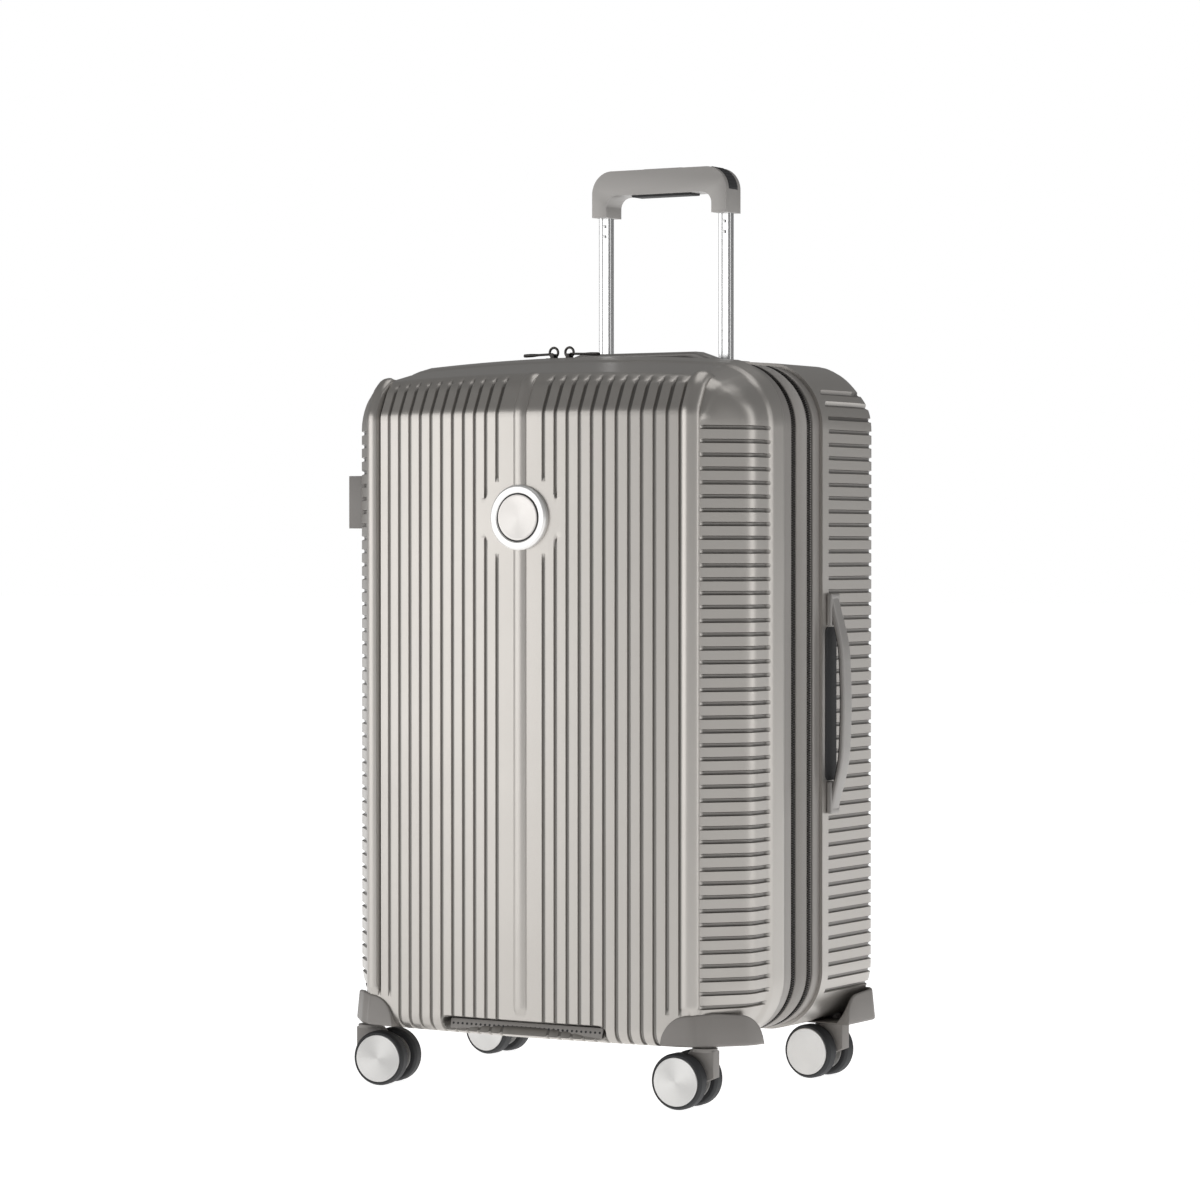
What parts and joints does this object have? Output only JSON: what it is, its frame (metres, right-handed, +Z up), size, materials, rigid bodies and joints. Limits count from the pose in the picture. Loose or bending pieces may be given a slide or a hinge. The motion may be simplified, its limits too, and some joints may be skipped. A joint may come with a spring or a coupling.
{
  "type": "hard shell suitcase",
  "caption": "Upright hard shell suitcase in satin champagne with ribbed shells, zip gusset, trolley handle, carry handles, side lock and twin wheel casters.",
  "frame": {"origin": "on the floor under the middle of the case, midway between the four casters", "axes": "+Z up, the front shell faces -Y, +X towards the side carry handle"},
  "size_m": [0.4591, 0.3101, 0.8727],
  "materials": {
    "shell": "satin metallic polycarbonate, pressed ribs",
    "trim": "fine matt moulded plastic",
    "rim": "smooth satin welt",
    "zip_tape": "woven zip tape with coil teeth",
    "gusset_fabric": "dense woven polyester",
    "lining_fabric": "thin woven lining",
    "strap_webbing": "elastic webbing",
    "satin_metal": "satin",
    "spun_metal": "circular brushed",
    "lock_body": "satin moulded plastic",
    "lock_dial": "gloss black",
    "gunmetal": "dark plated metal",
    "tube_metal": "bright anodised",
    "steel": "bright",
    "grip_plastic": "satin moulded plastic",
    "soft_pad": "soft ribbed rubber",
    "button_silver": "satin silver",
    "tyre": "matt rubber",
    "wheel_disc": "circular brushed"
  },
  "bodies": {
    "root": {"rear_shell": "shell", "rear_rim": "rim", "expansion_zip_rear": "zip_tape", "gusset_pleat": "gusset_fabric", "rear_lining": "lining_fabric", "packing_straps": "strap_webbing", "outer_tubes": "tube_metal", "handle_tray": "trim", "top_handle_pan": "trim", "side_handle_mounts": "trim", "rear_corner_guards": "trim"},
    "expander": {"main_zip_rear": "zip_tape", "gusset_band": "gusset_fabric", "expansion_zip_front": "zip_tape"},
    "lid": {"front_shell": "shell", "lid_rim": "rim", "main_zip_front": "zip_tape", "lid_lining": "lining_fabric", "medallion_ring": "satin_metal", "medallion_disc": "spun_metal", "grab_scoop": "trim", "lock_case": "lock_body", "zip_sliders": "gunmetal", "front_corner_guards": "trim"},
    "lock_dial_1": {"lock_dial_1": "lock_dial"},
    "lock_dial_2": {"lock_dial_2": "lock_dial"},
    "lock_dial_3": {"lock_dial_3": "lock_dial"},
    "lock_catch": {"lock_catch": "lock_body"},
    "zip_pull_left": {"zip_pull_left": "gunmetal"},
    "zip_pull_right": {"zip_pull_right": "gunmetal"},
    "trolley_middle": {"middle_tubes": "tube_metal"},
    "trolley_grip": {"inner_tubes": "tube_metal", "tube_rivets": "steel", "grip": "grip_plastic", "grip_pad": "soft_pad", "grip_inserts": "soft_pad"},
    "trolley_button": {"release_button": "button_silver", "push_rods": "steel"},
    "top_handle": {"top_handle": "grip_plastic"},
    "side_handle": {"side_handle": "grip_plastic"},
    "caster_front_left": {"caster_fork_front_left": "trim"},
    "wheel_front_left_a": {"tyre_front_left_a": "tyre", "hub_front_left_a": "wheel_disc"},
    "wheel_front_left_b": {"tyre_front_left_b": "tyre", "hub_front_left_b": "wheel_disc"},
    "caster_front_right": {"caster_fork_front_right": "trim"},
    "wheel_front_right_a": {"tyre_front_right_a": "tyre", "hub_front_right_a": "wheel_disc"},
    "wheel_front_right_b": {"tyre_front_right_b": "tyre", "hub_front_right_b": "wheel_disc"},
    "caster_rear_left": {"caster_fork_rear_left": "trim"},
    "wheel_rear_left_a": {"tyre_rear_left_a": "tyre", "hub_rear_left_a": "wheel_disc"},
    "wheel_rear_left_b": {"tyre_rear_left_b": "tyre", "hub_rear_left_b": "wheel_disc"},
    "caster_rear_right": {"caster_fork_rear_right": "trim"},
    "wheel_rear_right_a": {"tyre_rear_right_a": "tyre", "hub_rear_right_a": "wheel_disc"},
    "wheel_rear_right_b": {"tyre_rear_right_b": "tyre", "hub_rear_right_b": "wheel_disc"}
  },
  "joints": [
    {"name": "expansion_slide", "type": "slide", "parent": "root", "child": "expander", "axis": [0, -1, 0], "range_m": [0, 0.035]},
    {"name": "lid_hinge", "type": "hinge", "parent": "expander", "child": "lid", "pos_m": [0.214, -0.0128, 0], "axis": [0, 0, 1], "range_deg": [0, 110]},
    {"name": "lock_dial_1_spin", "type": "hinge", "parent": "lid", "child": "lock_dial_1", "pos_m": [-0.2192, -0.086, 0.5495], "axis": [0, 0, 1], "continuous": true},
    {"name": "lock_dial_2_spin", "type": "hinge", "parent": "lid", "child": "lock_dial_2", "pos_m": [-0.2192, -0.086, 0.5575], "axis": [0, 0, 1], "continuous": true},
    {"name": "lock_dial_3_spin", "type": "hinge", "parent": "lid", "child": "lock_dial_3", "pos_m": [-0.2192, -0.086, 0.5655], "axis": [0, 0, 1], "continuous": true},
    {"name": "lock_catch_slide", "type": "slide", "parent": "lid", "child": "lock_catch", "axis": [0, 0, 1], "range_m": [0, 0.006], "stiffness_N_per_m": 120},
    {"name": "zip_pull_left_swing", "type": "hinge", "parent": "lid", "child": "zip_pull_left", "pos_m": [-0.0445, -0.0179, 0.687], "axis": [0, 1, 0], "range_deg": [0, 90]},
    {"name": "zip_pull_right_swing", "type": "hinge", "parent": "lid", "child": "zip_pull_right", "pos_m": [-0.0275, -0.0179, 0.687], "axis": [0, -1, 0], "range_deg": [0, 90]},
    {"name": "trolley_lower_stage", "type": "slide", "parent": "root", "child": "trolley_middle", "axis": [0, 0, 1], "range_m": [0, 0.178]},
    {"name": "trolley_upper_stage", "type": "slide", "parent": "trolley_middle", "child": "trolley_grip", "axis": [0, 0, 1], "range_m": [-0.178, 0]},
    {"name": "release_button_press", "type": "slide", "parent": "trolley_grip", "child": "trolley_button", "axis": [0, 0, -1], "range_m": [0, 0.004], "stiffness_N_per_m": 700},
    {"name": "top_handle_lift", "type": "slide", "parent": "root", "child": "top_handle", "axis": [0, 0, 1], "range_m": [0, 0.01], "stiffness_N_per_m": 400},
    {"name": "side_handle_pull", "type": "slide", "parent": "root", "child": "side_handle", "axis": [1, 0, 0], "range_m": [0, 0.008], "stiffness_N_per_m": 400},
    {"name": "caster_front_left_swivel", "type": "hinge", "parent": "lid", "child": "caster_front_left", "pos_m": [-0.181, -0.127, 0.056], "axis": [0, 0, 1], "continuous": true},
    {"name": "wheel_front_left_a_spin", "type": "hinge", "parent": "caster_front_left", "child": "wheel_front_left_a", "pos_m": [-0.16322, -0.12418, 0.0256], "axis": [0.1564, -0.9877, 0], "continuous": true},
    {"name": "wheel_front_left_b_spin", "type": "hinge", "parent": "caster_front_left", "child": "wheel_front_left_b", "pos_m": [-0.16322, -0.12418, 0.0256], "axis": [0.1564, -0.9877, 0], "continuous": true},
    {"name": "caster_front_right_swivel", "type": "hinge", "parent": "lid", "child": "caster_front_right", "pos_m": [0.181, -0.127, 0.056], "axis": [0, 0, 1], "continuous": true},
    {"name": "wheel_front_right_a_spin", "type": "hinge", "parent": "caster_front_right", "child": "wheel_front_right_a", "pos_m": [0.16301, -0.12763, 0.0256], "axis": [-0.0349, 0.9994, 0], "continuous": true},
    {"name": "wheel_front_right_b_spin", "type": "hinge", "parent": "caster_front_right", "child": "wheel_front_right_b", "pos_m": [0.16301, -0.12763, 0.0256], "axis": [-0.0349, 0.9994, 0], "continuous": true},
    {"name": "caster_rear_left_swivel", "type": "hinge", "parent": "root", "child": "caster_rear_left", "pos_m": [-0.181, 0.127, 0.056], "axis": [0, 0, 1], "continuous": true},
    {"name": "wheel_rear_left_a_spin", "type": "hinge", "parent": "caster_rear_left", "child": "wheel_rear_left_a", "pos_m": [-0.19896, 0.12826, 0.0256], "axis": [0.0698, 0.9976, 0], "continuous": true},
    {"name": "wheel_rear_left_b_spin", "type": "hinge", "parent": "caster_rear_left", "child": "wheel_rear_left_b", "pos_m": [-0.19896, 0.12826, 0.0256], "axis": [0.0698, 0.9976, 0], "continuous": true},
    {"name": "caster_rear_right_swivel", "type": "hinge", "parent": "root", "child": "caster_rear_right", "pos_m": [0.181, 0.127, 0.056], "axis": [0, 0, 1], "continuous": true},
    {"name": "wheel_rear_right_a_spin", "type": "hinge", "parent": "caster_rear_right", "child": "wheel_rear_right_a", "pos_m": [0.16307, 0.12857, 0.0256], "axis": [0.0872, 0.9962, 0], "continuous": true},
    {"name": "wheel_rear_right_b_spin", "type": "hinge", "parent": "caster_rear_right", "child": "wheel_rear_right_b", "pos_m": [0.16307, 0.12857, 0.0256], "axis": [0.0872, 0.9962, 0], "continuous": true}
  ]
}
